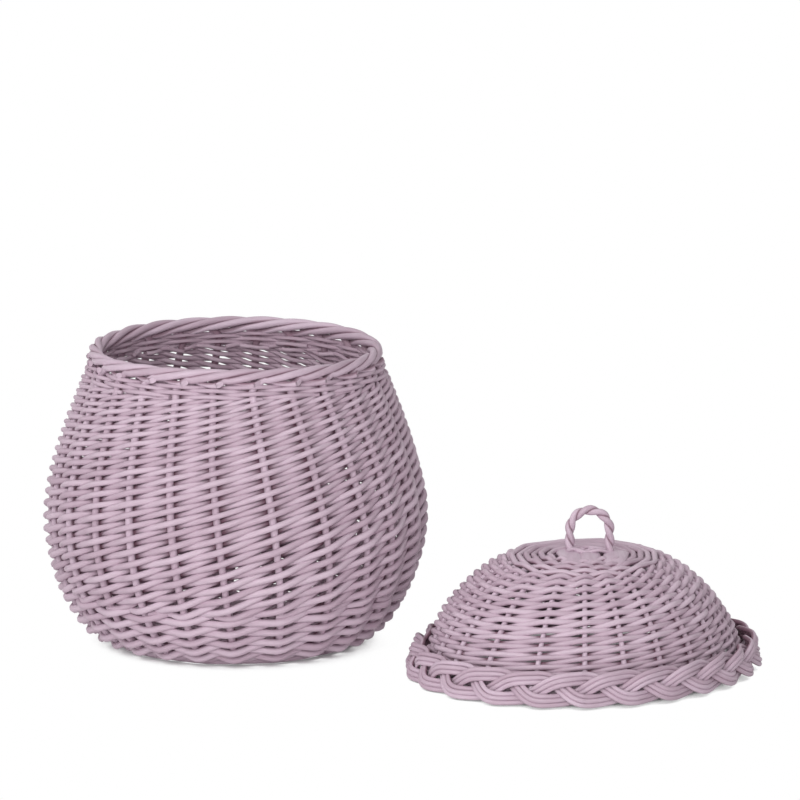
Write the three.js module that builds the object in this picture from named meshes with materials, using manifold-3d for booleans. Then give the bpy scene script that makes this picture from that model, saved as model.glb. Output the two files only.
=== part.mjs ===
// A lidded storage basket of painted willow: a round-bellied body, and its domed lid set down beside it.
// Millimetres, +Z up. The origin is the middle of the body's underside, on the floor.
// The front is towards -Y, and the lid stands to the right of it, towards +X.
import * as THREE from "three";
import Module from "manifold-3d";
import { mergeVertices } from "three/addons/utils/BufferGeometryUtils.js";

const wasm = await Module();
wasm.setup();

// Gaps
const CLEARANCE = 0.4; // between rods and weaving that touch on the real basket
const COURSE_GAP = 0.6; // between one course of weaving and the next

// Body: upright stakes, measured on their centre lines
const STAKE_COUNT = 24;
const STAKE_DIAMETER = 6.2;
const STAKE_LEAN = 9.2; // degrees that a stake drifts to the left on its way up, less and less
const STAKE_BEARING = 2.3; // degrees from the front to the foot of the first stake
const FOOT_DIAMETER = 234; // ring that the body stands on
const BELLY_DIAMETER = 369;
const BELLY_HEIGHT = 128;
const RIM_DIAMETER = 282;
const RIM_HEIGHT = 297; // middle of the rolled border
const BORDER_TAILS = 4; // stake tails that lie together anywhere along the border
const TAIL_CUT_LENGTH = 11.2; // a tail stops this far short of its last stake

// Body: how the wall swells between those diameters
const FOOT_FLARE_LENGTH = 30; // outward run of the wall as it leaves the foot
const FOOT_RISE_HEIGHT = 6; // rise of the wall over that run
const LOWER_UPRIGHT_LENGTH = 54; // upright stretch of the curve below the belly
const UPPER_UPRIGHT_LENGTH = 52; // upright stretch of the curve above the belly
const NECK_LENGTH = 55; // slanted stretch of the curve below the rim
const NECK_DRAW_WIDTH = 17; // how far the wall draws in over the neck

// Body: weaving, base and foot
const WEAVER_THICKNESS = 4.6;
const CLIMBING_WEAVERS = 16; // side by side round the wall; even, so that fronts and backs alternate
const FOOT_WEAVER_WIDTH = 26; // of a climbing weaver where it starts
const NECK_WEAVER_WIDTH = 13; // of the same weaver where it ends
const WEAVER_TIP_SHARE = 0.2; // part of its width that is left where a weaver is cut off
const FOOT_COURSE_WIDTH = 20; // level course that the climbing weavers start from
const NECK_COURSE_WIDTH = 9; // level course that closes the wall above them
const FOOT_ROD_DIAMETER = 8;
const BASE_STICKS_EACH_WAY = 3;
const BASE_STICK_DIAMETER = 7;
const BASE_COURSES = 3;
const BASE_WEAVER_THICKNESS = 3.8;
const BASE_LIFT_HEIGHT = 0.6; // the base weaving clears the floor by this much
const CROSS_WIDTH = 34; // square block where the base sticks pass through each other
const CROSS_CORNER_RADIUS = 6;
const FAN_RADIUS = 42; // where the base sticks have opened out to even spacing

// Lid: ribs, measured on their centre lines
const LID_OFFSET_X = 347; // where the lid stands, from the body's axis
const LID_OFFSET_Y = -137;
const LID_RIB_DIAMETER = 5.6;
const LID_CROWN_HEIGHT = 111.5;
const LID_CROWN_RADIUS = 60; // the flat top
const LID_FOOT_HEIGHT = 9;
const LID_CROWN_FLAT_LENGTH = 44; // flat stretch of the curve beyond the crown
const LID_SIDE_UPRIGHT_LENGTH = 64; // upright stretch of the curve above the foot
const LID_COURSES = 7;
const LID_WEAVER_THICKNESS = 3.4;
const CROWN_PLATE_RADIUS = 36;
const CROWN_PLATE_THICKNESS = 8;

// Lid: plaited brim
const BRIM_STRANDS = 3;
const BRIM_STRAND_DIAMETER = 9.6;
const BRIM_HEIGHT = 40;
const BRIM_WAVES = 8; // times that a strand crosses the plait and comes back in one round
const BRIM_STEPS_PER_WAVE = 8;
const BRIM_SLACK_FACTOR = 1.18; // room for the slant of the strands where they cross
const LID_SEAT_GAP = 3; // between the body's border and the brim, when the lid is on

// Lid: twisted loop handle
const HANDLE_STRANDS = 2;
const HANDLE_STRAND_DIAMETER = 5;
const HANDLE_SPAN_WIDTH = 40; // between the middles of the two legs
const HANDLE_TOP_HEIGHT = 168; // above the floor that the lid stands on
const HANDLE_OFFSET_X = 5; // from the lid's axis to the middle of the handle
const HANDLE_TAIL_LENGTH = 14; // length of a leg below the top of the crown plate
const HANDLE_TURNS = 4;
const HANDLE_STEPS_PER_TURN = 6;

// Facets
const ROD_SIDES = 5;
const STAKE_SIDES = 4;
const FOOT_SIDES = 6;
const BORDER_STEPS_PER_STAKE = 2;
const PLATE_CORNERS = 12;
const CROSS_CORNER_STEPS = 3;
const ROWS_PER_STRAIGHT = 2; // widths of weaving that a rod passes before it bends
const LEAST_STEP = 0.15; // part of the rod pitch, and of a weaver's width, that is too short for a facet
const REACH_PASSES = 8; // rounds in which a band's slant and its distance from the rods settle
const WELD_DISTANCE = 1e-4; // corners this close are one corner

const UP = new THREE.Vector3(0, 0, 1);
const ASIDE = new THREE.Vector3(0.31, 0.17, 0.93); // a direction that no open rod runs along
const FULL_TURN = 2 * Math.PI;
const radians = THREE.MathUtils.degToRad;

// Sizes that follow from the driving ones
const stakeRadius = STAKE_DIAMETER / 2;
const stakePitch = FULL_TURN / STAKE_COUNT;
const rimRadius = RIM_DIAMETER / 2;
const footRodRadius = FOOT_ROD_DIAMETER / 2;
const footRodFlat = footRodRadius * Math.cos(Math.PI / FOOT_SIDES);
const baseStickRadius = BASE_STICK_DIAMETER / 2;
const ribRadius = LID_RIB_DIAMETER / 2;
const brimStrandRadius = BRIM_STRAND_DIAMETER / 2;
const handleStrandRadius = HANDLE_STRAND_DIAMETER / 2;

// A point at a radius, a height and an angle about the axis; angle 0 is the front, and it grows to the right.
function around(radius, height, angle) {
  return new THREE.Vector3(radius * Math.sin(angle), -radius * Math.cos(angle), height);
}

// The enclosed volume of an indexed geometry, negative where its faces point inwards.
function signedVolume(points, index) {
  let six = 0;
  const cross = new THREE.Vector3();
  for (let i = 0; i < index.length; i += 3) {
    cross.crossVectors(points[index[i + 1]], points[index[i + 2]]);
    six += points[index[i]].dot(cross);
  }
  return six / 6;
}

// A solid through a row of sections with equal numbers of corners; closed runs back to the first section.
function loft(sections, closed) {
  const corners = sections[0].length;
  const points = sections.flat();
  const index = [];
  const spans = closed ? sections.length : sections.length - 1;
  for (let s = 0; s < spans; s++) {
    const here = s * corners;
    const next = ((s + 1) % sections.length) * corners;
    for (let c = 0; c < corners; c++) {
      const d = (c + 1) % corners;
      index.push(here + c, here + d, next + d);
      index.push(here + c, next + d, next + c);
    }
  }
  if (!closed) {
    const last = (sections.length - 1) * corners;
    for (let c = 1; c + 1 < corners; c++) {
      index.push(0, c + 1, c);
      index.push(last, last + c, last + c + 1);
    }
  }
  if (signedVolume(points, index) < 0) {
    index.reverse();
  }
  return new THREE.BufferGeometry().setFromPoints(points).setIndex(index);
}

// A round rod along a row of points, with its section square to the run at each point.
function rod(route, radius, closed = false, sides = ROD_SIDES) {
  const count = route.length;
  const sections = [];
  let side = ASIDE;
  for (let i = 0; i < count; i++) {
    const before = closed ? route[(i + count - 1) % count] : route[Math.max(i - 1, 0)];
    const after = closed ? route[(i + 1) % count] : route[Math.min(i + 1, count - 1)];
    const run = after.clone().sub(before).normalize();
    const lean = closed ? UP : side;
    side = lean.clone().addScaledVector(run, -lean.dot(run)).normalize();
    const other = new THREE.Vector3().crossVectors(run, side);
    const section = [];
    for (let c = 0; c < sides; c++) {
      const turn = (FULL_TURN * c) / sides;
      const corner = route[i].clone();
      corner.addScaledVector(side, radius * Math.cos(turn));
      corner.addScaledVector(other, radius * Math.sin(turn));
      section.push(corner);
    }
    sections.push(section);
  }
  return loft(sections, closed);
}

// The direction of a row of points at one of them.
function runAt(spots, i) {
  const after = spots[Math.min(i + 1, spots.length - 1)];
  const before = spots[Math.max(i - 1, 0)];
  return after.clone().sub(before).normalize();
}

// The centre line of a rod up a profile of radius and height. The rod is straight between its bends,
// which are lengths along the profile, and each bend carries the outward normal of the surface.
function railAlong(profile, bends, angleAt) {
  const whole = profile.getLength();
  return bends.map((length) => {
    const spot = profile.getPoint(length / whole);
    const run = profile.getTangent(length / whole);
    const normal = new THREE.Vector2(run.y, -run.x);
    return { length, radius: spot.x, height: spot.y, normal, angle: angleAt(length) };
  });
}

// The spot on a rail at a length along its profile.
function spotAlong(rail, length) {
  let k = 1;
  while (k < rail.length - 1 && rail[k].length < length) {
    k++;
  }
  const low = rail[k - 1];
  const high = rail[k];
  const share = (length - low.length) / (high.length - low.length);
  return {
    radius: THREE.MathUtils.lerp(low.radius, high.radius, share),
    height: THREE.MathUtils.lerp(low.height, high.height, share),
    angle: THREE.MathUtils.lerp(low.angle, high.angle, share),
    normal: low.normal.clone().lerp(high.normal, share).normalize(),
  };
}

// How far the middle of a band lies from the rods' centre lines, so that it clears each rod on the slant.
function weaveReach(weave, spacing, bend) {
  const clear = weave.rodRadius + CLEARANCE;
  let reach = clear + weave.thickness / 2;
  for (let pass = 0; pass < REACH_PASSES; pass++) {
    const slant = Math.atan2(2 * reach, spacing) + bend;
    reach = clear / Math.cos(slant) + weave.thickness / 2;
  }
  return reach;
}

// The corners of a band of weaving where it passes a rod: outside it where both numbers are even or both odd.
function bandCorners(weave, number, rodNumber, edges) {
  const rods = weave.rails.length;
  const pitch = FULL_TURN / rods;
  const rail = weave.rails[THREE.MathUtils.euclideanModulo(rodNumber, rods)];
  const low = spotAlong(rail, edges[0] + COURSE_GAP / 2);
  const high = spotAlong(rail, edges[1] - COURSE_GAP / 2);
  const side = (rodNumber + number) % 2 === 0 ? 1 : -1;
  const bend = (side * pitch * Math.max(low.normal.x, high.normal.x)) / 2;
  const reach = side * weaveReach(weave, Math.min(low.radius, high.radius) * pitch, bend);
  const half = weave.thickness / 2;
  const corner = (spot, offset) =>
    around(spot.radius + spot.normal.x * offset, spot.height + spot.normal.y * offset, spot.angle);
  return [
    corner(low, reach - half),
    corner(low, reach + half),
    corner(high, reach + half),
    corner(high, reach - half),
  ];
}

// A band of weaving through places that are counted in rods, outside one rod and inside the next.
// The edges at a place are lengths along the profile.
function band(weave, number, places, edgesAt, closed) {
  const sections = places.map((spot) => {
    const passed = Math.floor(spot);
    const here = bandCorners(weave, number, passed, edgesAt(spot));
    const there = bandCorners(weave, number, passed + 1, edgesAt(spot));
    return here.map((corner, c) => corner.lerp(there[c], spot - passed));
  });
  return loft(sections, closed);
}

// A level course: a band that closes on itself.
function course(weave, number, low, high) {
  const places = weave.rails.map((rail, i) => i);
  return band(weave, number, places, () => [low, high], true);
}

// Solids for joining and cutting
function solidOf(geometry) {
  const bare = new THREE.BufferGeometry();
  bare.setAttribute("position", geometry.getAttribute("position"));
  bare.setIndex(geometry.index);
  const merged = mergeVertices(bare, WELD_DISTANCE);
  const vertProperties = new Float32Array(merged.getAttribute("position").array);
  const triVerts = new Uint32Array(merged.index.array);
  return new wasm.Manifold(new wasm.Mesh({ numProp: 3, vertProperties, triVerts }));
}

function joined(geometries) {
  let whole = solidOf(geometries[0]);
  for (const piece of geometries.slice(1)) {
    whole = whole.add(solidOf(piece));
  }
  const mesh = whole.getMesh();
  const geometry = new THREE.BufferGeometry();
  geometry.setAttribute("position", new THREE.BufferAttribute(mesh.vertProperties, 3));
  return geometry.setIndex(new THREE.BufferAttribute(mesh.triVerts, 1));
}

// Finishes: pale mauve paint on willow, a little darker where a piece is out of the light
function paint(colour) {
  return new THREE.MeshStandardMaterial({ color: colour, roughness: 0.62, metalness: 0 });
}
const weaverPaint = 0xb79cad;
const rodPaint = 0xbda3b4;
const basePaint = 0xa88c9d;

const body = new THREE.Group();
const lid = new THREE.Group();
lid.position.set(LID_OFFSET_X, LID_OFFSET_Y, 0);

function place(group, name, geometry, colour) {
  geometry.computeVertexNormals();
  const mesh = new THREE.Mesh(geometry, paint(colour));
  mesh.name = name;
  group.add(mesh);
}

function numbered(stem, number) {
  return stem + "_" + String(number).padStart(2, "0");
}

// Rolled border: each stake turns down to the right and runs once round the border's core on its way past
// the next stakes, up the outside and down the inside, so that several tails lie together along the rim
const tailSpan = BORDER_TAILS * stakePitch;
const tailTurnPerStep = FULL_TURN / BORDER_TAILS / BORDER_STEPS_PER_STAKE;
const tailFit = (stakeRadius + CLEARANCE / 2) / Math.sin(Math.PI / BORDER_TAILS);
const tailLay = Math.atan2(FULL_TURN * tailFit, tailSpan * rimRadius);
const borderCoil = tailFit / (Math.cos(tailLay) * Math.cos(tailTurnPerStep / 2));
const borderRadius = borderCoil + stakeRadius;
const tailEnd = tailSpan - TAIL_CUT_LENGTH / rimRadius;

// Wall profile, from the foot to just under the border
const footRingRadius = FOOT_DIAMETER / 2;
const stakeFootHeight = 2 * footRodFlat + CLEARANCE + stakeRadius;
const wallFoot = new THREE.Vector2(footRingRadius + footRodRadius + stakeRadius, stakeFootHeight);
const wallBelly = new THREE.Vector2(BELLY_DIAMETER / 2, BELLY_HEIGHT);
const wallRim = new THREE.Vector2(rimRadius, RIM_HEIGHT - borderRadius - CLEARANCE);
const wallProfile = new THREE.CurvePath();
wallProfile.add(
  new THREE.CubicBezierCurve(
    wallFoot,
    wallFoot.clone().add(new THREE.Vector2(FOOT_FLARE_LENGTH, FOOT_RISE_HEIGHT)),
    wallBelly.clone().sub(new THREE.Vector2(0, LOWER_UPRIGHT_LENGTH)),
    wallBelly,
  ),
);
wallProfile.add(
  new THREE.CubicBezierCurve(
    wallBelly,
    wallBelly.clone().add(new THREE.Vector2(0, UPPER_UPRIGHT_LENGTH)),
    wallRim.clone().add(new THREE.Vector2(NECK_DRAW_WIDTH, -NECK_LENGTH)),
    wallRim,
  ),
);
const wallLength = wallProfile.getLength();
const neckStart = wallLength - NECK_COURSE_WIDTH;

// Climbing weavers: rows of equal share from the foot course to the neck course, each a little narrower
const rowTaper = (FOOT_WEAVER_WIDTH - NECK_WEAVER_WIDTH) / (neckStart - FOOT_COURSE_WIDTH);
const rowCount = Math.log(FOOT_WEAVER_WIDTH / NECK_WEAVER_WIDTH) / rowTaper;
const rowClimb = CLIMBING_WEAVERS / STAKE_COUNT; // rows that a weaver rises from one stake to the next
const lengthAtRow = (row) =>
  FOOT_COURSE_WIDTH + (FOOT_WEAVER_WIDTH / rowTaper) * (1 - Math.exp(-rowTaper * row));

// Stakes: each bends where one weaver gives way to another
const stakeAngle = (number, length) =>
  radians(STAKE_BEARING) + number * stakePitch - radians(STAKE_LEAN) * (1 - (1 - length / wallLength) ** 2);
function stakeRail(number) {
  const bends = [0, FOOT_COURSE_WIDTH];
  const lowest = THREE.MathUtils.euclideanModulo(rowClimb * number, ROWS_PER_STRAIGHT);
  for (let row = lowest; row < rowCount - LEAST_STEP; row += ROWS_PER_STRAIGHT) {
    if (row > LEAST_STEP) {
      bends.push(lengthAtRow(row));
    }
  }
  bends.push(neckStart, wallLength);
  return railAlong(wallProfile, bends, (length) => stakeAngle(number, length));
}
const stakeRails = [];
for (let i = 0; i < STAKE_COUNT; i++) {
  stakeRails.push(stakeRail(i));
}

// The run of a stake: out over the foot ring, up the wall, then round the border as a tail with a cut end
function stakeRoute(number) {
  const route = [around(footRingRadius, stakeFootHeight, stakeAngle(number, 0))];
  stakeRails[number].forEach((s) => route.push(around(s.radius, s.height, s.angle)));
  const start = stakeAngle(number, wallLength);
  const bendAngle = stakeRadius / rimRadius;
  const steps = BORDER_TAILS * BORDER_STEPS_PER_STAKE;
  const stepAngle = tailSpan / steps;
  const passed = [bendAngle];
  for (let k = 1; k < steps; k++) {
    passed.push(k * stepAngle);
  }
  passed.push(tailEnd);
  for (const angle of passed) {
    const turn = (FULL_TURN * angle) / tailSpan - Math.PI / 2;
    const radius = rimRadius + borderCoil * Math.cos(turn);
    const height = RIM_HEIGHT + borderCoil * Math.sin(turn);
    route.push(around(radius, height, start + angle));
  }
  return route;
}
for (let i = 0; i < STAKE_COUNT; i++) {
  place(body, numbered("stake", i + 1), rod(stakeRoute(i), stakeRadius, false, STAKE_SIDES), rodPaint);
}

// Wall weaving: a level course, weavers that climb to the right side by side, and a level course on top
const wallWeave = { rails: stakeRails, rodRadius: stakeRadius, thickness: WEAVER_THICKNESS };
function climbingWeaver(number) {
  const lowRow = (spot) => Math.max(0, number + rowClimb * spot);
  const highRow = (spot) => Math.min(rowCount, number + rowClimb * spot + 1);
  const spotAt = (row) => (row - number) / rowClimb;
  const first = spotAt(WEAVER_TIP_SHARE - 1);
  const last = spotAt(rowCount - WEAVER_TIP_SHARE);
  const stakes = [];
  for (let i = Math.ceil(first); i <= last; i++) {
    stakes.push(i);
  }
  const ends = [first, spotAt(0), spotAt(rowCount - 1), last];
  const between = ends.filter((spot) => stakes.every((i) => Math.abs(spot - i) > LEAST_STEP));
  const places = [...stakes, ...between].sort((a, b) => a - b);
  const edgesAt = (spot) => [lengthAtRow(lowRow(spot)), lengthAtRow(highRow(spot))];
  return band(wallWeave, number, places, edgesAt, false);
}
let wallCourse = 1;
place(body, numbered("wall_course", wallCourse), course(wallWeave, 0, 0, FOOT_COURSE_WIDTH), weaverPaint);
for (let k = 0; k < CLIMBING_WEAVERS; k++) {
  wallCourse++;
  place(body, numbered("wall_course", wallCourse), climbingWeaver(k), weaverPaint);
}
wallCourse++;
place(body, numbered("wall_course", wallCourse), course(wallWeave, 1, neckStart, wallLength), weaverPaint);

// Foot ring: a rod with a flat underside that the body stands on
const footSections = [];
for (let s = 0; s < STAKE_COUNT; s++) {
  const section = [];
  for (let c = 0; c < FOOT_SIDES; c++) {
    const turn = (FULL_TURN * c) / FOOT_SIDES;
    const radius = footRingRadius + footRodRadius * Math.cos(turn);
    const height = footRodFlat + footRodRadius * Math.sin(turn);
    section.push(around(radius, height, s * stakePitch));
  }
  footSections.push(section);
}
place(body, "foot_ring", loft(footSections, true), weaverPaint);

// Base: sticks pass through each other in a square block and fan out to even spacing inside the foot rod
const spokeCount = 4 * BASE_STICKS_EACH_WAY;
const spokePitch = FULL_TURN / spokeCount;
const baseInside = FAN_RADIUS + baseStickRadius;
const baseReach = (footRingRadius - footRodRadius) * Math.cos(stakePitch / 2) - CLEARANCE;
const baseWeave = { rails: [], rodRadius: baseStickRadius, thickness: BASE_WEAVER_THICKNESS };
const baseWave = weaveReach(baseWeave, baseInside * spokePitch, 0) + BASE_WEAVER_THICKNESS / 2;
const baseHeight = BASE_LIFT_HEIGHT + baseWave;
function baseStick(lane) {
  const half = [];
  half.push(new THREE.Vector3((lane * CROSS_WIDTH) / BASE_STICKS_EACH_WAY, -CROSS_WIDTH / 2, baseHeight));
  half.push(around(FAN_RADIUS, baseHeight, lane * spokePitch));
  half.push(around(baseReach, baseHeight, lane * spokePitch));
  const otherHalf = half.map((spot) => spot.clone().setY(-spot.y));
  return rod([...half.reverse(), ...otherHalf], baseStickRadius);
}
function crossBlock() {
  const middle = CROSS_WIDTH / 2 - CROSS_CORNER_RADIUS;
  const outline = new THREE.Shape();
  for (let corner = 0; corner < 4; corner++) {
    const from = (corner * Math.PI) / 2;
    const across = new THREE.Vector2(middle, middle).rotateAround(new THREE.Vector2(), from);
    outline.absarc(across.x, across.y, CROSS_CORNER_RADIUS, from, from + Math.PI / 2);
  }
  return new THREE.ExtrudeGeometry(outline, {
    depth: baseHeight + baseStickRadius,
    bevelEnabled: false,
    curveSegments: CROSS_CORNER_STEPS,
  });
}
const slath = [crossBlock()];
const outerLane = (BASE_STICKS_EACH_WAY - 1) / 2;
for (let lane = -outerLane; lane <= outerLane; lane++) {
  slath.push(baseStick(lane), baseStick(lane).rotateZ(Math.PI / 2));
}
place(body, "base_slath", joined(slath), basePaint);

const baseProfile = new THREE.LineCurve(
  new THREE.Vector2(baseReach, baseHeight),
  new THREE.Vector2(baseInside, baseHeight),
);
const baseLength = baseProfile.getLength();
for (let i = 0; i < spokeCount; i++) {
  baseWeave.rails.push(railAlong(baseProfile, [0, baseLength], () => i * spokePitch));
}
const baseCourseWidth = baseLength / BASE_COURSES;
for (let k = 0; k < BASE_COURSES; k++) {
  const low = k * baseCourseWidth;
  place(body, numbered("base_course", k + 1), course(baseWeave, k, low, low + baseCourseWidth), basePaint);
}

// Brim: strands plaited round the foot of the lid, each swinging up and down and in and out
const brimSwing = (BRIM_HEIGHT - BRIM_STRAND_DIAMETER) / 2;
const brimCrossing = 2 * Math.sin(FULL_TURN / 6) * Math.cos(Math.PI / BRIM_STEPS_PER_WAVE);
const brimDepth = (BRIM_SLACK_FACTOR * (BRIM_STRAND_DIAMETER + CLEARANCE)) / brimCrossing;
const lidWallReach = ribRadius + 2 * CLEARANCE + LID_WEAVER_THICKNESS;
const brimRadius = rimRadius + borderRadius + LID_SEAT_GAP + brimDepth + brimStrandRadius;
const brimSteps = BRIM_WAVES * BRIM_STEPS_PER_WAVE;
for (let k = 0; k < BRIM_STRANDS; k++) {
  const route = [];
  for (let s = 0; s < brimSteps; s++) {
    const angle = (FULL_TURN * s) / brimSteps;
    const swing = BRIM_WAVES * angle + (FULL_TURN * k) / BRIM_STRANDS;
    const radius = brimRadius + brimDepth * Math.sin(2 * swing);
    route.push(around(radius, brimSwing * Math.sin(swing) + BRIM_HEIGHT / 2, angle));
  }
  place(lid, numbered("brim_strand", k + 1), rod(route, brimStrandRadius, true), rodPaint);
}

// Lid profile, from its foot inside the brim up to the flat crown
const lidFootRadius = brimRadius - brimDepth - brimStrandRadius - CLEARANCE - lidWallReach;
const lidFoot = new THREE.Vector2(lidFootRadius, LID_FOOT_HEIGHT);
const lidShoulder = new THREE.Vector2(LID_CROWN_RADIUS, LID_CROWN_HEIGHT);
const lidProfile = new THREE.CurvePath();
lidProfile.add(
  new THREE.CubicBezierCurve(
    lidFoot,
    lidFoot.clone().add(new THREE.Vector2(0, LID_SIDE_UPRIGHT_LENGTH)),
    lidShoulder.clone().add(new THREE.Vector2(LID_CROWN_FLAT_LENGTH, 0)),
    lidShoulder,
  ),
);
lidProfile.add(
  new THREE.LineCurve(lidShoulder, new THREE.Vector2(CROWN_PLATE_RADIUS + lidWallReach, LID_CROWN_HEIGHT)),
);
const lidLength = lidProfile.getLength();
const lidCourseWidth = lidLength / LID_COURSES;
const lidBends = [];
for (let row = 0; row < LID_COURSES; row += ROWS_PER_STRAIGHT) {
  lidBends.push(row * lidCourseWidth);
}
lidBends.push(lidLength);
const lidRails = [];
for (let i = 0; i < STAKE_COUNT; i++) {
  lidRails.push(railAlong(lidProfile, lidBends, () => i * stakePitch));
}

// Lid frame: ribs that spring from a crown plate with two holes for the legs of the handle
const crownTop = LID_CROWN_HEIGHT + CROWN_PLATE_THICKNESS / 2;
const handleTwist = (handleStrandRadius + CLEARANCE / 2) / Math.cos(Math.PI / HANDLE_STEPS_PER_TURN);
const handleRopeRadius = handleTwist + handleStrandRadius;
function crownPlate() {
  const outline = new THREE.Shape();
  outline.absarc(0, 0, CROWN_PLATE_RADIUS, 0, FULL_TURN);
  for (const end of [-1, 1]) {
    const hole = new THREE.Path();
    const middle = HANDLE_OFFSET_X + (end * HANDLE_SPAN_WIDTH) / 2;
    hole.absarc(middle, 0, handleRopeRadius + CLEARANCE, 0, FULL_TURN);
    outline.holes.push(hole);
  }
  const plate = new THREE.ExtrudeGeometry(outline, {
    depth: CROWN_PLATE_THICKNESS,
    bevelEnabled: false,
    curveSegments: PLATE_CORNERS / 2,
  });
  return plate.translate(0, 0, crownTop - CROWN_PLATE_THICKNESS);
}
const frame = [crownPlate()];
lidRails.forEach((rail, i) => {
  const route = rail.map((s) => around(s.radius, s.height, s.angle));
  route.push(around(CROWN_PLATE_RADIUS - ribRadius, LID_CROWN_HEIGHT, i * stakePitch));
  frame.push(rod(route, ribRadius));
});
place(lid, "lid_frame", joined(frame), rodPaint);

// Lid weaving
const lidWeave = { rails: lidRails, rodRadius: ribRadius, thickness: LID_WEAVER_THICKNESS };
for (let k = 0; k < LID_COURSES; k++) {
  const low = k * lidCourseWidth;
  place(lid, numbered("lid_course", k + 1), course(lidWeave, k + 1, low, low + lidCourseWidth), weaverPaint);
}

// Handle: two strands twisted round each other along an arch that stands in the crown plate
const archRadius = HANDLE_SPAN_WIDTH / 2;
const archCentre = HANDLE_TOP_HEIGHT - handleRopeRadius - archRadius;
const legFoot = crownTop - HANDLE_TAIL_LENGTH;
const handleArch = new THREE.CurvePath();
const archSpot = (side, height) => new THREE.Vector2(side * archRadius, height);
handleArch.add(new THREE.LineCurve(archSpot(-1, legFoot), archSpot(-1, archCentre)));
handleArch.add(new THREE.EllipseCurve(0, archCentre, archRadius, archRadius, Math.PI, 0, true));
handleArch.add(new THREE.LineCurve(archSpot(1, archCentre), archSpot(1, legFoot)));
const handleSteps = HANDLE_TURNS * HANDLE_STEPS_PER_TURN;
const handleSpots = handleArch.getSpacedPoints(handleSteps);
for (let k = 0; k < HANDLE_STRANDS; k++) {
  const route = handleSpots.map((spot, i) => {
    const run = runAt(handleSpots, i);
    const turn = FULL_TURN * (i / HANDLE_STEPS_PER_TURN + k / HANDLE_STRANDS);
    const across = handleTwist * Math.cos(turn);
    const x = HANDLE_OFFSET_X + spot.x - run.y * across;
    return new THREE.Vector3(x, handleTwist * Math.sin(turn), spot.y + run.x * across);
  });
  place(lid, numbered("handle_strand", k + 1), rod(route, handleStrandRadius), rodPaint);
}

const basket = new THREE.Group();
basket.add(body, lid);
export default basket;
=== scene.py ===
"""Looks of a lidded storage basket of painted willow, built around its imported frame.

Every rod of the basket is a path worked out from the way such a basket is woven, in millimetres, and a
tree of geometry nodes sweeps the paths into willow rods. The body's stakes run up the wall and turn down
into the rolled border, the weavers rise to the right in front of one stake and behind the next, and the
lid is woven on ribs round a flat slath, with a plaited brim and a twisted loop handle.
"""

import logging
import math
from dataclasses import dataclass, field
from enum import Enum

import bpy
import numpy as np
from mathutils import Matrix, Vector


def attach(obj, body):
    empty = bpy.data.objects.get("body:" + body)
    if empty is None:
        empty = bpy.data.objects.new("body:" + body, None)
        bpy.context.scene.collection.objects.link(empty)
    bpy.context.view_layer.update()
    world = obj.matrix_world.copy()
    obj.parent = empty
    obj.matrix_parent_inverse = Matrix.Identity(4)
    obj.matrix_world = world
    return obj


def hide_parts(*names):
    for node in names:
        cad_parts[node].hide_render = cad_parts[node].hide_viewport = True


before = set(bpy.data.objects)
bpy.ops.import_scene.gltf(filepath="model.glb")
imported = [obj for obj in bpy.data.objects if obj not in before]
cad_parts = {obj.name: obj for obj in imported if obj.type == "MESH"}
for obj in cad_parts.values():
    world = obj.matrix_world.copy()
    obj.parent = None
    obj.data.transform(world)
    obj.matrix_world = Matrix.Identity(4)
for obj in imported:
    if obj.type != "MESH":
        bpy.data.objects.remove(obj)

MM = 0.001
FULL_TURN = 2 * math.pi
WHITE = (1.0, 1.0, 1.0, 1.0)
log = logging.getLogger("basket")

Pair = tuple[float, float]
Triple = tuple[float, float, float]
Marks = tuple[Triple, ...]
Nudges = tuple[tuple[int, float], ...]
Array = np.ndarray
Chance = np.random.Generator
Socket = bpy.types.NodeSocket
Material = bpy.types.Material


class Carrier(Enum):
    """The moving body that a piece goes with."""

    BASKET = "basket"
    LID = "lid"


class Slot(Enum):
    """The record's material slots."""

    WEAVERS = "painted_weavers"
    RODS = "painted_rods"
    BASE = "painted_base"


def around(radius: Array, height: Array, angle: Array) -> Array:
    """Points about the upright axis; angle 0 is the front, and it grows to the right.

    Args:
        radius: Distances from the axis.
        height: Heights above the floor.
        angle: Angles in radians.

    Returns:
        One row of x, y and z for each point.
    """
    radius, height, angle = np.broadcast_arrays(radius, height, angle)
    return np.stack([radius * np.sin(angle), -radius * np.cos(angle), height], axis=-1).astype(float)


def unit(vectors: Array) -> Array:
    """Rows of vectors drawn to a length of 1."""
    return vectors / np.linalg.norm(vectors, axis=1)[:, None]


def ease(value: Array) -> Array:
    """A smooth step from 0 to 1."""
    share = np.clip(value, 0, 1)
    return share * share * (3 - 2 * share)


def linear(colour: Triple) -> tuple[float, float, float, float]:
    """A colour of 0 to 255 as the shader's linear values.

    Args:
        colour: Red, green and blue as a screen shows them.

    Returns:
        Linear red, green and blue, and an alpha of 1.
    """
    values = []
    for part in colour:
        share = part / 255
        values.append(share / 12.92 if share <= 0.04045 else ((share + 0.055) / 1.055) ** 2.4)
    return (*values, 1.0)


def smooth_path(points: Array, steps: int) -> Array:
    """A rounded path through a row of points.

    Args:
        points: The points that the path passes through.
        steps: Steps between two of them.

    Returns:
        The denser row of points.
    """
    before = np.vstack([2 * points[0] - points[1], points[:-2]])
    start, end = points[:-1], points[1:]
    after = np.vstack([points[2:], 2 * points[-1] - points[-2]])
    rows = []
    for k in range(steps):
        t = k / steps
        a = 2 * start
        b = (end - before) * t
        c = (2 * before - 5 * start + 4 * end - after) * t * t
        d = (3 * start - before - 3 * end + after) * t**3
        rows.append((a + b + c + d) / 2)
    dense = np.stack(rows, axis=1).reshape(-1, 3)
    return np.vstack([dense, points[-1]])


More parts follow.
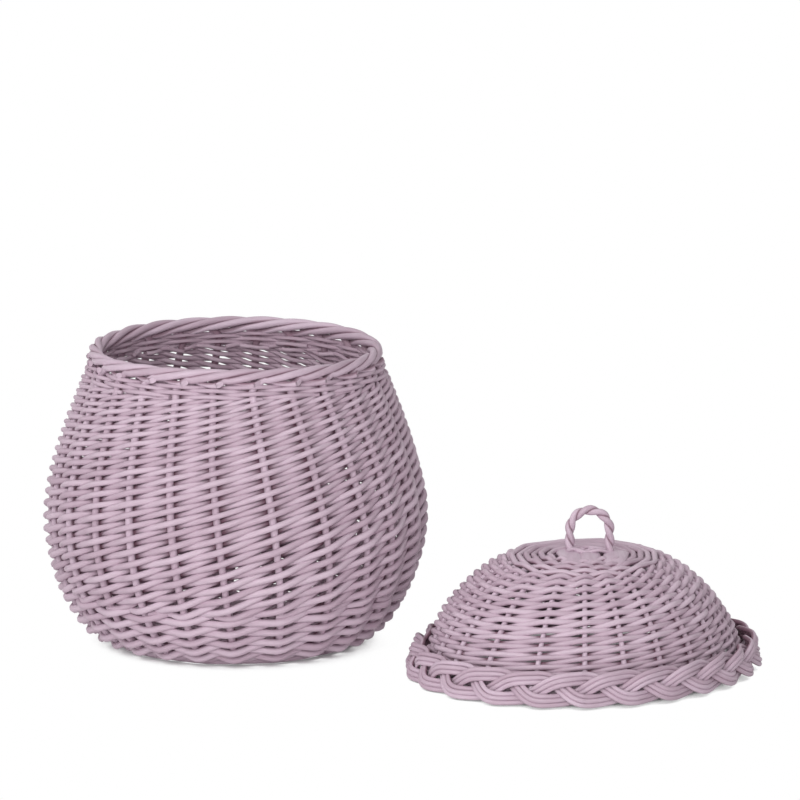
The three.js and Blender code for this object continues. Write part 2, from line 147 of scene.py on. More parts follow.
def bezier(knots: list[Pair], count: int) -> Array:
    """Points along a cubic curve.

    Args:
        knots: Its start, two pulls and its end.
        count: How many points.

    Returns:
        One row of two values for each point.
    """
    t = np.linspace(0, 1, count)[:, None]
    a, b, c, d = (np.array(k, float) for k in knots)
    return (1 - t) ** 3 * a + 3 * (1 - t) ** 2 * t * b + 3 * (1 - t) * t * t * c + t**3 * d


def carry(mesh: bpy.types.Mesh, key: str, values: Array) -> None:
    """Stores a number or a vector for each point of a mesh."""
    kind, part = ("FLOAT_VECTOR", "vector") if values.ndim == 2 else ("FLOAT", "value")
    mesh.attributes.new(key, kind, "POINT").data.foreach_set(part, values.astype(np.float32).ravel())


class Profile:
    """A row of radius and height that a woven wall turns about the axis, measured by its length."""

    def __init__(self, points: Array) -> None:
        """Works out the lengths and outward normals along the points.

        Args:
            points: Radii and heights along the line.
        """
        self.points = points
        steps = np.linalg.norm(np.diff(points, axis=0), axis=1)
        self.lengths = np.concatenate([[0], np.cumsum(steps)])
        run = unit(np.gradient(points, axis=0))
        self.normals = np.stack([run[:, 1], -run[:, 0]], axis=1)

    @property
    def length(self) -> float:
        """The whole length."""
        return float(self.lengths[-1])

    def length_at_height(self, height: float) -> float:
        """The length along the profile where it first reaches a height."""
        return float(np.interp(height, self.points[:, 1], self.lengths))

    def at(self, length: Array, offset: Array) -> tuple[Array, Array]:
        """Radii and heights of spots off the profile.

        Args:
            length: Lengths along the profile.
            offset: Distances outwards, square to it.

        Returns:
            The radii and the heights.
        """
        columns = np.hstack([self.points, self.normals]).T
        radius, height, out, up = (np.interp(length, self.lengths, column) for column in columns)
        return radius + out * offset, height + up * offset


class Wiring:
    """Adds nodes to a node tree and links them."""

    def __init__(self, tree: bpy.types.NodeTree) -> None:
        """Takes the tree and empties it."""
        self.tree = tree
        tree.nodes.clear()

    def node(self, kind: str, values: dict | None = None, **settings: object) -> bpy.types.Node:
        """Adds a node.

        Args:
            kind: The node's type.
            values: What goes into its inputs, by name or number: sockets or plain values.
            settings: The node's own properties.

        Returns:
            The node.
        """
        added = self.tree.nodes.new(kind)
        for key, value in settings.items():
            setattr(added, key, value)
        for key, value in (values or {}).items():
            if isinstance(value, Socket):
                self.tree.links.new(value, added.inputs[key])
            else:
                added.inputs[key].default_value = value
        return added

    def math(self, kind: str, *values: object) -> Socket:
        """One step of arithmetic on sockets or numbers."""
        return self.node("ShaderNodeMath", dict(enumerate(values)), operation=kind).outputs[0]

    def vector(self, kind: str, first: object, second: object) -> Socket:
        """One step of vector arithmetic; a dot product gives a number."""
        step = self.node("ShaderNodeVectorMath", {0: first, 1: second}, operation=kind)
        return step.outputs[1 if kind == "DOT_PRODUCT" else 0]

    def scaled(self, vector: Socket, scale: object) -> Socket:
        """A vector drawn out or in."""
        return self.node("ShaderNodeVectorMath", {0: vector, "Scale": scale}, operation="SCALE").outputs[0]


class PaintWiring(Wiring):
    """Wiring of a material, with the steps that the paint repeats."""

    def carried(self, name: str, output: str = "Fac") -> Socket:
        """A value that the rods carry."""
        found = self.node("ShaderNodeAttribute", attribute_type="GEOMETRY", attribute_name=name)
        return found.outputs[output]

    def noise(self, vector: object, scale: float, detail: float) -> Socket:
        """A noise over a vector."""
        values = {"Vector": vector, "Scale": scale, "Detail": detail}
        return self.node("ShaderNodeTexNoise", values).outputs["Fac"]

    def spread(self, value: object, given: Pair, wanted: Pair) -> Socket:
        """Carries a value smoothly from one range to another."""
        limits = dict(zip(("From Min", "From Max", "To Min", "To Max"), (*given, *wanted)))
        return self.node(
            "ShaderNodeMapRange", {"Value": value, **limits}, interpolation_type="SMOOTHSTEP"
        ).outputs["Result"]

    def blended(self, first: object, second: object, share: float) -> Socket:
        """A number between two, by the share of the second."""
        return self.math("ADD", self.math("MULTIPLY", first, 1 - share), self.math("MULTIPLY", second, share))

    def mixed(self, share: object, first: object, second: object) -> Socket:
        """A colour between two."""
        return self.node("ShaderNodeMix", {"Factor": share, 6: first, 7: second}, data_type="RGBA").outputs[2]


@dataclass(frozen=True)
class WillowPaint:
    """Matte paint on willow: uneven from rod to rod, streaked along each, with painted shade where a rod lies
    hidden.

    Where a rod runs behind the next and on its sides that face into the wall, its colour is mixed towards a
    dark
    tone: painted shade in these recesses, together with paint that is thin there. The edge is how squarely a
    face looks out of the wall where its full colour begins and where it is whole.
    """

    name: str
    light: Triple
    deep: Triple
    thin: Triple
    # The darkest tone stands for painted shade in recesses, together with thin paint there.
    bare_and_shade_colour: Triple
    roughness: float = 0.6
    roughness_spread: float = 0.08
    specular: float = 0.35
    streak_length: float = 0.03
    blot_size: float = 0.02
    grain_depth: float = 0.00025
    grain_strength: float = 0.7
    # How far the darkest spots go towards that tone of painted shade and thin paint.
    bare_and_shade_share: float = 0.78
    edge: Pair = (-0.3, 0.42)
    tone_shift: float = 61.0

    def material(self) -> Material:
        """Builds the node material.

        Returns:
            The material.
        """
        made = bpy.data.materials.new(self.name)
        made.use_nodes = True
        wire = PaintWiring(made.node_tree)
        tone = wire.carried("tone")
        normal = wire.node("ShaderNodeNewGeometry").outputs["Normal"]
        # Faces that look into the wall take the inner value, which darkens them with painted shade along with
        # thin paint.
        facing = wire.vector("DOT_PRODUCT", wire.carried("outward", "Vector"), normal)
        sides_coat_and_light = {
            "Factor": wire.spread(facing, self.edge, (0.0, 1.0)),
            2: wire.carried("inner_coat_and_light"),
            3: wire.carried("coat_and_light"),
        }
        coat_and_light = wire.node("ShaderNodeMix", sides_coat_and_light, data_type="FLOAT").outputs[0]
        ring = wire.node("ShaderNodeSeparateXYZ", {0: wire.carried("ring", "Vector")}).outputs
        axes = {
            "X": wire.math("MULTIPLY", wire.carried("along"), 1 / self.streak_length),
            "Y": wire.math("ADD", ring["X"], wire.math("MULTIPLY", tone, self.tone_shift)),
            "Z": ring["Y"],
        }
        lengthwise = wire.node("ShaderNodeCombineXYZ", axes).outputs[0]

        streak = wire.noise(lengthwise, 1.3, 3.0)
        fine = wire.noise(lengthwise, 5.0, 4.0)
        blot = wire.noise(wire.node("ShaderNodeTexCoord").outputs["Object"], 1 / self.blot_size, 2.0)
        level = wire.blended(wire.blended(tone, streak, 0.5), blot, 0.25)
        lightness = wire.spread(level, (0.25, 0.75), (0.0, 1.0))
        colour = wire.mixed(lightness, linear(self.deep), linear(self.light))
        worn = wire.spread(fine, (0.60, 0.78), (0.0, 0.55))
        scuff = wire.math("MULTIPLY", worn, wire.spread(blot, (0.4, 0.65), (0.2, 1.0)))
        colour = wire.mixed(scuff, colour, linear(self.thin))
        # Low values mix in the dark tone: painted shade behind rods and inside the wall, together with thin
        # paint there.
        bare_and_shade_mix = wire.spread(coat_and_light, (0.0, 1.0), (self.bare_and_shade_share, 0.0))
        colour = wire.mixed(bare_and_shade_mix, colour, linear(self.bare_and_shade_colour))

        dull, shiny = self.roughness + self.roughness_spread, self.roughness - self.roughness_spread
        grain = {
            "Strength": self.grain_strength,
            "Distance": self.grain_depth,
            "Height": wire.math("ADD", fine, wire.math("MULTIPLY", streak, 1.5)),
        }
        coat = {
            "Base Color": colour,
            "Roughness": wire.spread(streak, (0.2, 0.8), (dull, shiny)),
            "Specular IOR Level": self.specular,
            "Normal": wire.node("ShaderNodeBump", grain).outputs["Normal"],
        }
        shader = wire.node("ShaderNodeBsdfPrincipled", coat).outputs["BSDF"]
        wire.node("ShaderNodeOutputMaterial", {"Surface": shader})
        return made


@dataclass
class Rods:
    """Paths that are to become willow rods, with what each of their points carries."""

    points: list[Array] = field(default_factory=list)
    edges: list[Array] = field(default_factory=list)
    carried: list[dict[str, Array]] = field(default_factory=list)
    count: int = 0
    cut_slope: float = 1.2

    def add(
        self,
        path: Array,
        diameter: float | Array,
        tone: float,
        coat_and_light: float | Array = 1.0,
        closed: bool = False,
        slant: Array | None = None,
        outward: Array | None = None,
        inner_coat_and_light: float = 1.0,
    ) -> None:
        """Adds one rod.

        Args:
            path: Its points in millimetres.
            diameter: Its thickness, or one for each point.
            tone: How light its paint is, from 0 to 1.
            coat_and_light: How fully it keeps its own colour, from 0 to 1; below 1 it is darkened with
                painted shade and thin paint.
            closed: Whether it runs back to its first point.
            slant: Which way the slanted cut at its end faces.
            outward: Which way is out of the woven wall at each point.
            inner_coat_and_light: The same for the side that faces into the wall.
        """
        size = len(path)
        first = np.arange(size if closed else size - 1)
        self.edges.append(np.stack([first, (first + 1) % size], axis=1) + self.count)
        self.points.append(path * MM)
        self.count += size
        steps = np.linalg.norm(np.diff(path, axis=0), axis=1)
        run, side = np.zeros((size, 3)), np.zeros((size, 3))
        if slant is not None:
            end = path[-1] - path[-2]
            run[-1] = -self.cut_slope * end / np.linalg.norm(end)
            side[-1] = slant / np.linalg.norm(slant)
        # The two masks below darken the rod with painted shade, together with thin paint, where they fall
        # below 1.
        values = {
            "thick": np.broadcast_to(np.asarray(diameter, float) / 2 * MM, size),
            "tone": np.full(size, tone),
            "coat_and_light": np.broadcast_to(np.asarray(coat_and_light, float), size),
            "inner_coat_and_light": np.full(size, inner_coat_and_light),
            "along": np.concatenate([[0], np.cumsum(steps)]) * MM,
            "cut_run": run,
            "cut_side": side,
            "outward": np.zeros((size, 3)) if outward is None else outward,
        }
        self.carried.append(values)

    def mesh(self, name: str) -> bpy.types.Mesh:
        """The paths as a mesh of edges that carries the values.

        Args:
            name: The mesh's name.

        Returns:
            The mesh.
        """
        made = bpy.data.meshes.new(name)
        made.from_pydata(np.vstack(self.points).tolist(), np.vstack(self.edges).tolist(), [])
        for key in self.carried[0]:
            carry(made, key, np.concatenate([values[key] for values in self.carried]))
        return made


class RodTree(Wiring):
    """The tree of geometry nodes that sweeps paths into willow rods."""

    SEED = 11
    LUMP_SCALE = 70.0
    SIDE_FACE_CORNERS = 4
    INPUTS = (
        ("Sides", "NodeSocketInt", 8),
        ("Wobble", "NodeSocketFloat", 0.0005),
        ("Wobble Scale", "NodeSocketFloat", 18.0),
        ("Swelling", "NodeSocketFloat", 0.12),
        ("Seed", "NodeSocketFloat", float(SEED)),
        ("Paint", "NodeSocketMaterial", None),
    )

    def __init__(self) -> None:
        """Builds the tree with its named inputs."""
        super().__init__(bpy.data.node_groups.new("Willow rods", "GeometryNodeTree"))
        face = self.tree.interface
        face.new_socket("Paths", in_out="INPUT", socket_type="NodeSocketGeometry")
        self.inputs: dict[str, str] = {}
        for name, kind, value in self.INPUTS:
            socket = face.new_socket(name, in_out="INPUT", socket_type=kind)
            if value is not None:
                socket.default_value = value
            self.inputs[name] = socket.identifier
        face.new_socket("Rods", in_out="OUTPUT", socket_type="NodeSocketGeometry")
        self.given = self.node("NodeGroupInput").outputs
        self.position = self.node("GeometryNodeInputPosition").outputs[0]
        self._wire()

    def _carried(self, name: str, kind: str = "FLOAT_VECTOR") -> Socket:
        """A value that the paths carry."""
        found = self.node("GeometryNodeInputNamedAttribute", {"Name": name}, data_type=kind)
        return found.outputs["Attribute"]

    def _noise(self, scale: object, output: str) -> Socket:
        """Noise over the places of the points."""
        values = {"Vector": self.position, "W": self.given["Seed"], "Scale": scale, "Detail": 1.0}
        return self.node("ShaderNodeTexNoise", values, noise_dimensions="4D").outputs[output]

    def _shaped(self, kind: str, values: dict, **settings: object) -> Socket:
        """One step on a geometry."""
        return self.node(kind, values, **settings).outputs[0]

    def _placed(self, geometry: Socket, name: str) -> Socket:
        """Keeps the place of each point under a name."""
        values = {"Geometry": geometry, "Name": name, "Value": self.position}
        return self._shaped(
            "GeometryNodeStoreNamedAttribute", values, data_type="FLOAT_VECTOR", domain="POINT"
        )

    def _wire(self) -> None:
        """Links the nodes from the paths to the painted rods."""
        given = self.given
        curves = self._shaped("GeometryNodeMeshToCurve", {"Mesh": given["Paths"]})
        drift = self.vector("SUBTRACT", self._noise(given["Wobble Scale"], "Color"), (0.5, 0.5, 0.5))
        offset = self.scaled(drift, given["Wobble"])
        moved = self._shaped("GeometryNodeSetPosition", {"Geometry": curves, "Offset": offset})
        lumps = self.math("SUBTRACT", self._noise(self.LUMP_SCALE, "Fac"), 0.5)
        lumps = self.math("MULTIPLY_ADD", lumps, given["Swelling"], 1.0)
        radius = self.math("MULTIPLY", self._carried("thick", "FLOAT"), lumps)
        sized = {"Curve": self._placed(moved, "spot"), "Radius": radius}
        sized = self._shaped("GeometryNodeSetCurveRadius", sized)
        ring = {"Resolution": given["Sides"], "Radius": 1.0}
        ring = self._shaped("GeometryNodeCurvePrimitiveCircle", ring, mode="RADIUS")
        swept = {"Curve": sized, "Profile Curve": self._placed(ring, "ring"), "Fill Caps": True}
        sweep = self.node("GeometryNodeCurveToMesh", swept)
        if "Scale" in sweep.inputs:
            self.tree.links.new(radius, sweep.inputs["Scale"])
        off_axis = self.vector("SUBTRACT", self.position, self._carried("spot"))
        lean = self.vector("DOT_PRODUCT", off_axis, self._carried("cut_side"))
        cut = self.scaled(self._carried("cut_run"), lean)
        rods = self._shaped("GeometryNodeSetPosition", {"Geometry": sweep.outputs[0], "Offset": cut})
        corners = self.node("GeometryNodeInputMeshFaceNeighbors").outputs["Vertex Count"]
        pair = {2: corners, 3: self.SIDE_FACE_CORNERS}
        side_face = self.node("FunctionNodeCompare", pair, data_type="INT", operation="EQUAL").outputs[0]
        smooth = {"Geometry": rods, "Shade Smooth": side_face}
        rods = self._shaped("GeometryNodeSetShadeSmooth", smooth, domain="FACE")
        rods = self._shaped("GeometryNodeRealizeInstances", {"Geometry": rods})
        rods = self._shaped("GeometryNodeSetMaterial", {"Geometry": rods, "Material": given["Paint"]})
        self.node("NodeGroupOutput", {"Rods": rods})

    def sweep(self, name: str, rods: Rods, paint: Material, **values: float) -> bpy.types.Object:
        """Sweeps paths into a plain mesh.

        Args:
            name: The piece's name.
            rods: The paths.
            paint: The material.
            values: Other inputs of the tree, by name with underscores.

        Returns:
            The piece, with no modifier left on it.
        """
        piece = bpy.data.objects.new(name, rods.mesh(name + "_paths"))
        bpy.context.scene.collection.objects.link(piece)
        modifier = piece.modifiers.new("Willow rods", "NODES")
        modifier.node_group = self.tree
        modifier[self.inputs["Paint"]] = paint
        for key, value in values.items():
            modifier[self.inputs[key.replace("_", " ").title()]] = value
        graph = bpy.context.evaluated_depsgraph_get()
        plain = bpy.data.meshes.new_from_object(
            piece.evaluated_get(graph), preserve_all_data_layers=True, depsgraph=graph
        )
        plain.name = name
        piece.modifiers.clear()
        piece.data = plain
        return piece


@dataclass
class Workshop:
    """What every sub-assembly needs: the sweeping tree, the paints and one source of chance."""

    tree: RodTree
    paints: dict[Slot, Material]
    chance: Chance

    def tie(self, piece: bpy.types.Object, carrier: Carrier, nodes: list[str]) -> None:
        """Ties a piece to the frame.

        Args:
            piece: The piece.
            carrier: The body that it moves with.
            nodes: The frame's nodes that it stands for, if any.
        """
        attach(piece, carrier.value)
        if nodes:
            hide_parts(*nodes)
        log.info("%s: %d faces for %s", piece.name, len(piece.data.polygons), ", ".join(nodes) or "no node")

    def dress(
        self, name: str, rods: Rods, slot: Slot, carrier: Carrier, nodes: list[str], **values: float
    ) -> None:
        """Makes one piece from its paths, by inputs of the sweeping tree, and ties it to the frame."""
        piece = self.tree.sweep(name, rods, self.paints[slot], **values)
        self.tie(piece, carrier, nodes)


class WovenWall:
    """A wall of upright rods about an axis, and where a spot of it lies."""

    rods: int
    bearing: float = 0.0

    def lay(self, profile: Profile, nudges: Nudges = ((0, 0.0),)) -> None:
        """Sets the line of the rods and how they stand.

        Args:
            profile: The line that each rod follows.
            nudges: The rods that stand aside from even spacing, each with its degrees; the rest is filled
                in between them.
        """
        self.profile = profile
        self.pitch = FULL_TURN / self.rods
        places, degrees = zip(*nudges)
        wrapped = np.arange(self.rods + 1)
        wrapped = np.where(wrapped > max(places), wrapped - self.rods, wrapped)
        self.drifts = np.interp(wrapped, places, degrees) / (360 / self.rods)

    def drift(self, place: Array) -> Array:
        """How far a place stands from even spacing, counted in rods."""
        return np.interp(np.mod(place, self.rods), np.arange(self.rods + 1), self.drifts)

    def angle(self, place: Array, length: Array) -> Array:
        """The angle of a place counted in rods, at a length up the wall."""
        return math.radians(self.bearing) + (place + self.drift(place)) * self.pitch + 0 * length

    def spots(self, place: Array, length: Array, offset: Array) -> Array:
        """Points of the wall, by places counted in rods, lengths up it and distances out of it."""
        radius, height = self.profile.at(length, offset)
        return around(radius, height, self.angle(place, length))


@dataclass
class BodyShape(WovenWall):
    """The line of the stakes: foot, belly and rim of the body, and how the stakes stand round it.

    The stakes lean to the left on their way up, and most of their uneven spacing is gone at the rim.
    """

    rods: int = 24
    bearing: float = 3.5
    lean: float = 11.3
    lean_power: float = 1.12
    evened: float = 0.8
    evened_from: float = 0.72
    nudges: Nudges = (
        *((-12, 0.0), (-3, -0.6), (-2, -1.2), (-1, -1.6), (0, -1.9)),
        *((1, 0.7), (2, 2.2), (3, 2.4), (4, 0.0), (11, 0.0)),
    )
    foot: Pair = (123.6, 9.6)
    foot_pull: Pair = (31.0, 5.0)
    belly: Pair = (184.4, 128.0)
    below: float = 54.0
    above: float = 52.0
    neck: Pair = (17.0, 55.0)
    rim: Pair = (141.3, 290.6)
    border: Pair = (140.3, 297.0)
    saddle: float = 3.6
    back_drop: float = 3.6
    sinks_from: float = 180.0
    sinks_over: float = 110.0
    foot_shift: float = -2.2
    foot_shift_top: float = 150.0

    def __post_init__(self) -> None:
        """Works out the profile."""
        foot, belly, rim = self.foot, self.belly, self.rim
        foot_pull = (foot[0] + self.foot_pull[0], foot[1] + self.foot_pull[1])
        neck_pull = (rim[0] + self.neck[0], rim[1] - self.neck[1])
        lower = bezier([foot, foot_pull, (belly[0], belly[1] - self.below), belly], 120)
        upper = bezier([belly, (belly[0], belly[1] + self.above), neck_pull, rim], 120)
        self.lay(Profile(np.vstack([lower, upper[1:]])), self.nudges)

    def angle(self, place: Array, length: Array) -> Array:
        """The angle of a place.

        Args:
            place: Places round the wall, counted in stakes.
            length: Lengths up the wall.

        Returns:
            Angles in radians.
        """
        up = np.clip(length / self.profile.length, 0, 1)
        evened = self.evened * ease((up - self.evened_from) / (1 - self.evened_from))
        leant = math.radians(self.lean) * (1 - (1 - up) ** self.lean_power)
        return math.radians(self.bearing) + (place + self.drift(place) * (1 - evened)) * self.pitch - leant

    def settled(self, points: Array) -> Array:
        """Lets the rim sink a little at both sides and at the back, and the foot stand to the left.

        Args:
            points: Points of an even body.

        Returns:
            The same points, settled.
        """
        across, back = unit(points[:, :2]).T
        sunk = points.copy()
        sinking = self.saddle * across**2 + self.back_drop * np.clip(back, 0, 1) ** 2
        sunk[:, 2] -= sinking * ease((points[:, 2] - self.sinks_from) / self.sinks_over)
        sunk[:, 0] += self.foot_shift * (1 - ease(points[:, 2] / self.foot_shift_top))
        return sunk

    def spots(self, place: Array, length: Array, offset: Array) -> Array:
        """Points of the wall, with its sunken rim."""
        return self.settled(super().spots(place, length, offset))


@dataclass
class Stakes:
    """The upright stakes, whose tops turn down to the right and become the rolled border.

    A tail rises along the outside of the border, passes over it and down the inside, and its cut end comes
    out again under the border, past a later stake. The tail's start and end give places, counted in stakes,
    and turns about the border's heart, in degrees.
    """

    shape: BodyShape
    diameter: float = 7.6
    tail_diameter: float = 6.9
    size_spread: float = 0.03
    place_spread: float = 0.012
    rim_gap: float = 7.0
    coil: float = 4.0
    coil_spread: float = 0.09
    tip: float = 0.86
    tail_start: Pair = (0.28, -62.0)
    tail_end: Pair = (4.2, 319.0)
    tail_spread: float = 0.05
    tail_share: float = 0.5
    end_drop: float = 5.8
    foot_radius: float = 112.0
    wall_points: int = 34
    tail_points: int = 30
    # Painted shade, with thin paint, on the stakes, most of it on their sides that face into the wall.
    coat_and_light: float = 0.95
    inner_coat_and_light: float = 0.36
    cut_dip: float = -0.2

    def path(self, number: int, chance: Chance) -> Array:
        """The line of one stake and its tail.

        Args:
            number: Which stake, from 0.
            chance: The source of small differences.

        Returns:
            The points, from the foot to the cut end.
        """
        shape = self.shape
        place = number + chance.normal(0, self.place_spread)
        lengths = np.linspace(0, shape.profile.length - self.rim_gap, self.wall_points)
        wall = shape.spots(np.full(self.wall_points, place), lengths, np.zeros(self.wall_points))
        inner = around(self.foot_radius, shape.foot[1], shape.angle(place, np.array(0.0)))[None]
        share = np.linspace(0, 1, self.tail_points)
        (first, low), (last, high) = self.tail_start, self.tail_end
        passed = first + (last + chance.normal(0, self.tail_spread) - first) * share
        turn = np.radians(low + (high - low) * share)
        coil = self.coil * (1 + chance.normal(0, self.coil_spread))
        coil = coil + self.end_drop * ease((share - 0.75) / 0.25)
        start = shape.angle(place, np.array(shape.profile.length))
        radius, height = shape.border[0] + coil * np.cos(turn), shape.border[1] + coil * np.sin(turn)
        tail = around(radius, height, start + shape.pitch * passed)
        return smooth_path(np.vstack([inner, wall, shape.settled(tail)]), 3)

    def build(self, shop: Workshop) -> None:
        """Makes a piece for each stake.

        Args:
            shop: The workshop.
        """
        for number in range(self.shape.rods):
            path = self.path(number, shop.chance)
            share = np.linspace(0, 1, len(path))
            tail = share - self.tail_share
            size = self.diameter + (self.tail_diameter - self.diameter) * ease(tail / 0.12)
            size *= 1 + shop.chance.normal(0, self.size_spread)
            size *= 1 + (self.tip - 1) * ease((share - 0.8) / 0.2)
            radial = unit(path * np.array([1, 1, 0]))
            upright = (1 - ease(tail / 0.06))[:, None]
            heart = around(*self.shape.border, np.arctan2(path[:, 0], -path[:, 1]))
            rolled = unit(path - self.shape.settled(heart))
            rods = Rods()
            rods.add(
                path,
                size,
                shop.chance.random(),
                self.coat_and_light,
                slant=radial[-1] + np.array([0, 0, self.cut_dip]),
                outward=radial * upright + rolled * (1 - upright),
                inner_coat_and_light=self.inner_coat_and_light,
            )
            name = f"stake_{number + 1:02d}"
            shop.dress(f"{name}_willow", rods, Slot.RODS, Carrier.BASKET, [name], sides=10, wobble=0.0006)


class Gauge:
    """How far apart the weavers in front of one rod lie and how thick they are, by the length up a wall."""

    SAMPLES = 400

    def __init__(self, marks: list[Triple]) -> None:
        """Counts the weavers along the wall.

        Args:
            marks: Lengths up the wall, each with the distance between weavers and the part of it that one
                fills.
        """
        lengths, pitches, parts = zip(*marks)
        self.lengths = np.linspace(lengths[0], lengths[-1], self.SAMPLES)
        self.pitches = np.interp(self.lengths, lengths, pitches)
        self.sizes = self.pitches * np.interp(self.lengths, lengths, parts)
        steps = np.diff(self.lengths) * (1 / self.pitches[1:] + 1 / self.pitches[:-1]) / 2
        self.counts = np.concatenate([[0], np.cumsum(steps)])

    @property
    def total(self) -> float:
        """How many weavers lie in front of one rod."""
        return float(self.counts[-1])

    def length(self, count: Array) -> Array:
        """The lengths up the wall of counted weavers."""
        return np.interp(count, self.counts, self.lengths)

    def size(self, count: Array) -> Array:
        """The thickness of counted weavers."""
        return np.interp(count, self.counts, self.sizes)


@dataclass
class Strand:
    """One weaver: where it starts and stops, its count at place 0, its climb and the side it starts on."""

    start: float
    stop: float
    count: float
    climb: float
    phase: float


@dataclass
class Weave:
    """Weaving on a wall of rods, in front of one rod and behind the next."""

    wall: WovenWall
    gauge: Gauge
    rod_diameter: float
    grip: float = 0.76
    point: float = 0.11
    tuck: float = 4.0
    tuck_reach: float = 0.8
    overrun: float = 0.3
    lap: float = 0.9
    steps: int = 10
    size_spread: float = 0.04
    wander: float = 0.3
    sway: float = 1.0
    droop: float = 0.0
    # Painted shade, with thin paint, on the weavers' sides that face into the wall.
    inner_coat_and_light: float = 0.74

    def add(self, rods: Rods, strand: Strand, chance: Chance) -> None:
        """Adds one weaver to the rods.

        Args:
            rods: Where it goes.
            strand: The weaver.
            chance: The source of small differences.
        """
        steps = max(int(round((strand.stop - strand.start) * self.steps)), 4)
        place = np.linspace(strand.start, strand.stop, steps + 1)
        turn = math.pi * (place + strand.phase)
        swing = (np.cos(turn) + self.point * np.cos(3 * turn)) / (1 + self.point)
        count = strand.count + strand.climb * (place + self.wall.drift(place))
        size = self.gauge.size(count) * (1 + chance.normal(0, self.size_spread))
        near_end = np.minimum(place - strand.start, strand.stop - place)
        offset = self.grip * (self.rod_diameter + size) / 2 * swing
        offset = offset - self.tuck * ease(1 - near_end / self.tuck_reach)
        waves = chance.uniform(0, FULL_TURN, 2)
        wander = np.sin(place * 1.3 + waves[0]) + 0.6 * np.sin(place * 2.9 + waves[1])
        length = self.gauge.length(count) + self.wander * wander
        length = length + self.sway * np.sin(place * FULL_TURN / self.wall.rods * 2 + 0.6)
        length = np.clip(length, 0, self.wall.profile.length)
        # Darker as the weaver runs behind a rod: painted shade in the slot beside the rod, with thin paint
        # there.
        coat_and_light = ease((swing + 1.0) / 0.55)
        path = self.wall.spots(place, length, offset)
        path[:, 2] -= self.droop * offset * (1 + unit(path[:, :2])[:, 1]) / 2
        outward = self.wall.spots(place, length, offset + 1) - path
        path[:, 2] = np.maximum(path[:, 2], size / 2)
        rods.add(path, size, chance.random(), coat_and_light, outward=outward, inner_coat_and_light=self.inner_coat_and_light)

    def climbing(self, sets: list[Rods], climb: float, chance: Chance) -> None:
        """Adds weavers that climb to the right all round the wall.

        Args:
            sets: Where they go, by turns.
            climb: Weavers in front of a rod that each one climbs past from one rod to the next.
            chance: The source of small differences.
        """
        for k in range(int(round(2 * self.wall.rods * climb))):
            start = -k / 2 / climb
            stop = start + self.gauge.total / climb
            strand = Strand(start - self.overrun, stop + self.overrun, k / 2, climb, k % 2)
            self.add(sets[k % len(sets)], strand, chance)

    def level(self, rods: Rods, chance: Chance) -> None:
        """Adds level rows, each of one weaver that overlaps itself a little.

        Args:
            rods: Where they go.
            chance: The source of small differences.
        """
        for k in range(int(2 * self.gauge.total)):
            start = int(chance.integers(0, self.wall.rods)) + 0.5
            strand = Strand(start, start + self.wall.rods + self.lap, k / 2 + 0.25, 0.0, k % 2)
            self.add(rods, strand, chance)


@dataclass
class WallWeaving:
    """The weaving of the wall: rows at the foot, weavers that climb to the right, and level rows at the neck.

    A gauge gives heights, each with the distance between weavers and the part of it that one fills.
    """

    shape: BodyShape
    stake_diameter: float = 7.6
    foot_gauge: Marks = ((9.6, 13.8, 0.55), (60.0, 13.0, 0.55))
    foot_climb: float = 0.5
    gauge: Marks = (
        *((60.0, 12.3, 0.56), (130.0, 12.2, 0.56), (165.0, 10.9, 0.57)),
        *((224.0, 9.2, 0.58), (274.5, 7.1, 0.63)),
    )
    climb: float = 1.25
    neck_gauge: Marks = ((275.0, 6.7, 0.7), (291.9, 6.7, 0.7))
    neck_sway: float = 0.3
    neck_droop: float = 0.5

    def weave(self, marks: Marks, **settings: float) -> Weave:
        """Weaving on the wall by a gauge and other settings."""
        gauge = Gauge([(self.shape.profile.length_at_height(height), *rest) for height, *rest in marks])
        return Weave(self.shape, gauge, self.stake_diameter, **settings)

    def build(self, shop: Workshop) -> None:
        """Makes the pieces of the wall's weaving.

        Args:
            shop: The workshop.
        """
        foot, neck, sets = Rods(), Rods(), [Rods(), Rods()]
        self.weave(self.foot_gauge).climbing([foot], self.foot_climb, shop.chance)
        self.weave(self.neck_gauge, sway=self.neck_sway, droop=self.neck_droop).level(neck, shop.chance)
        self.weave(self.gauge).climbing(sets, self.climb, shop.chance)
        for name, rods, courses in (
            ("foot_rows", foot, (1,)),
            ("neck_rows", neck, (18,)),
            ("climbing_weavers_a", sets[0], range(2, 18, 2)),
            ("climbing_weavers_b", sets[1], range(3, 18, 2)),
        ):
            nodes = [f"wall_course_{n:02d}" for n in courses]
            shop.dress(name, rods, Slot.WEAVERS, Carrier.BASKET, nodes, sides=8)


@dataclass
class Foot:
    """The rods that lie flat round the bottom edge of the body, loosely twisted."""

    shape: BodyShape
    rods: int = 2
    radius: float = 119.0
    height: float = 4.3
    diameter: float = 6.4
    coil: float = 1.5
    flatness: float = 0.45
    turns: int = 5
    steps: int = 288

    def build(self, shop: Workshop) -> None:
        """Makes the foot.

        Args:
            shop: The workshop.
        """
        rods = Rods()
        angle = np.linspace(0, FULL_TURN, self.steps, endpoint=False)
        for k in range(self.rods):
            turn = angle * self.turns + k * math.pi
            radius = self.radius + self.coil * np.cos(turn)
            height = self.height + self.flatness * self.coil * np.sin(turn)
            path = self.shape.settled(around(radius, height, angle))
            rods.add(path, self.diameter, shop.chance.random(), closed=True)
        shop.dress("foot_rods", rods, Slot.WEAVERS, Carrier.BASKET, ["foot_ring"], sides=10, wobble=0.0008)


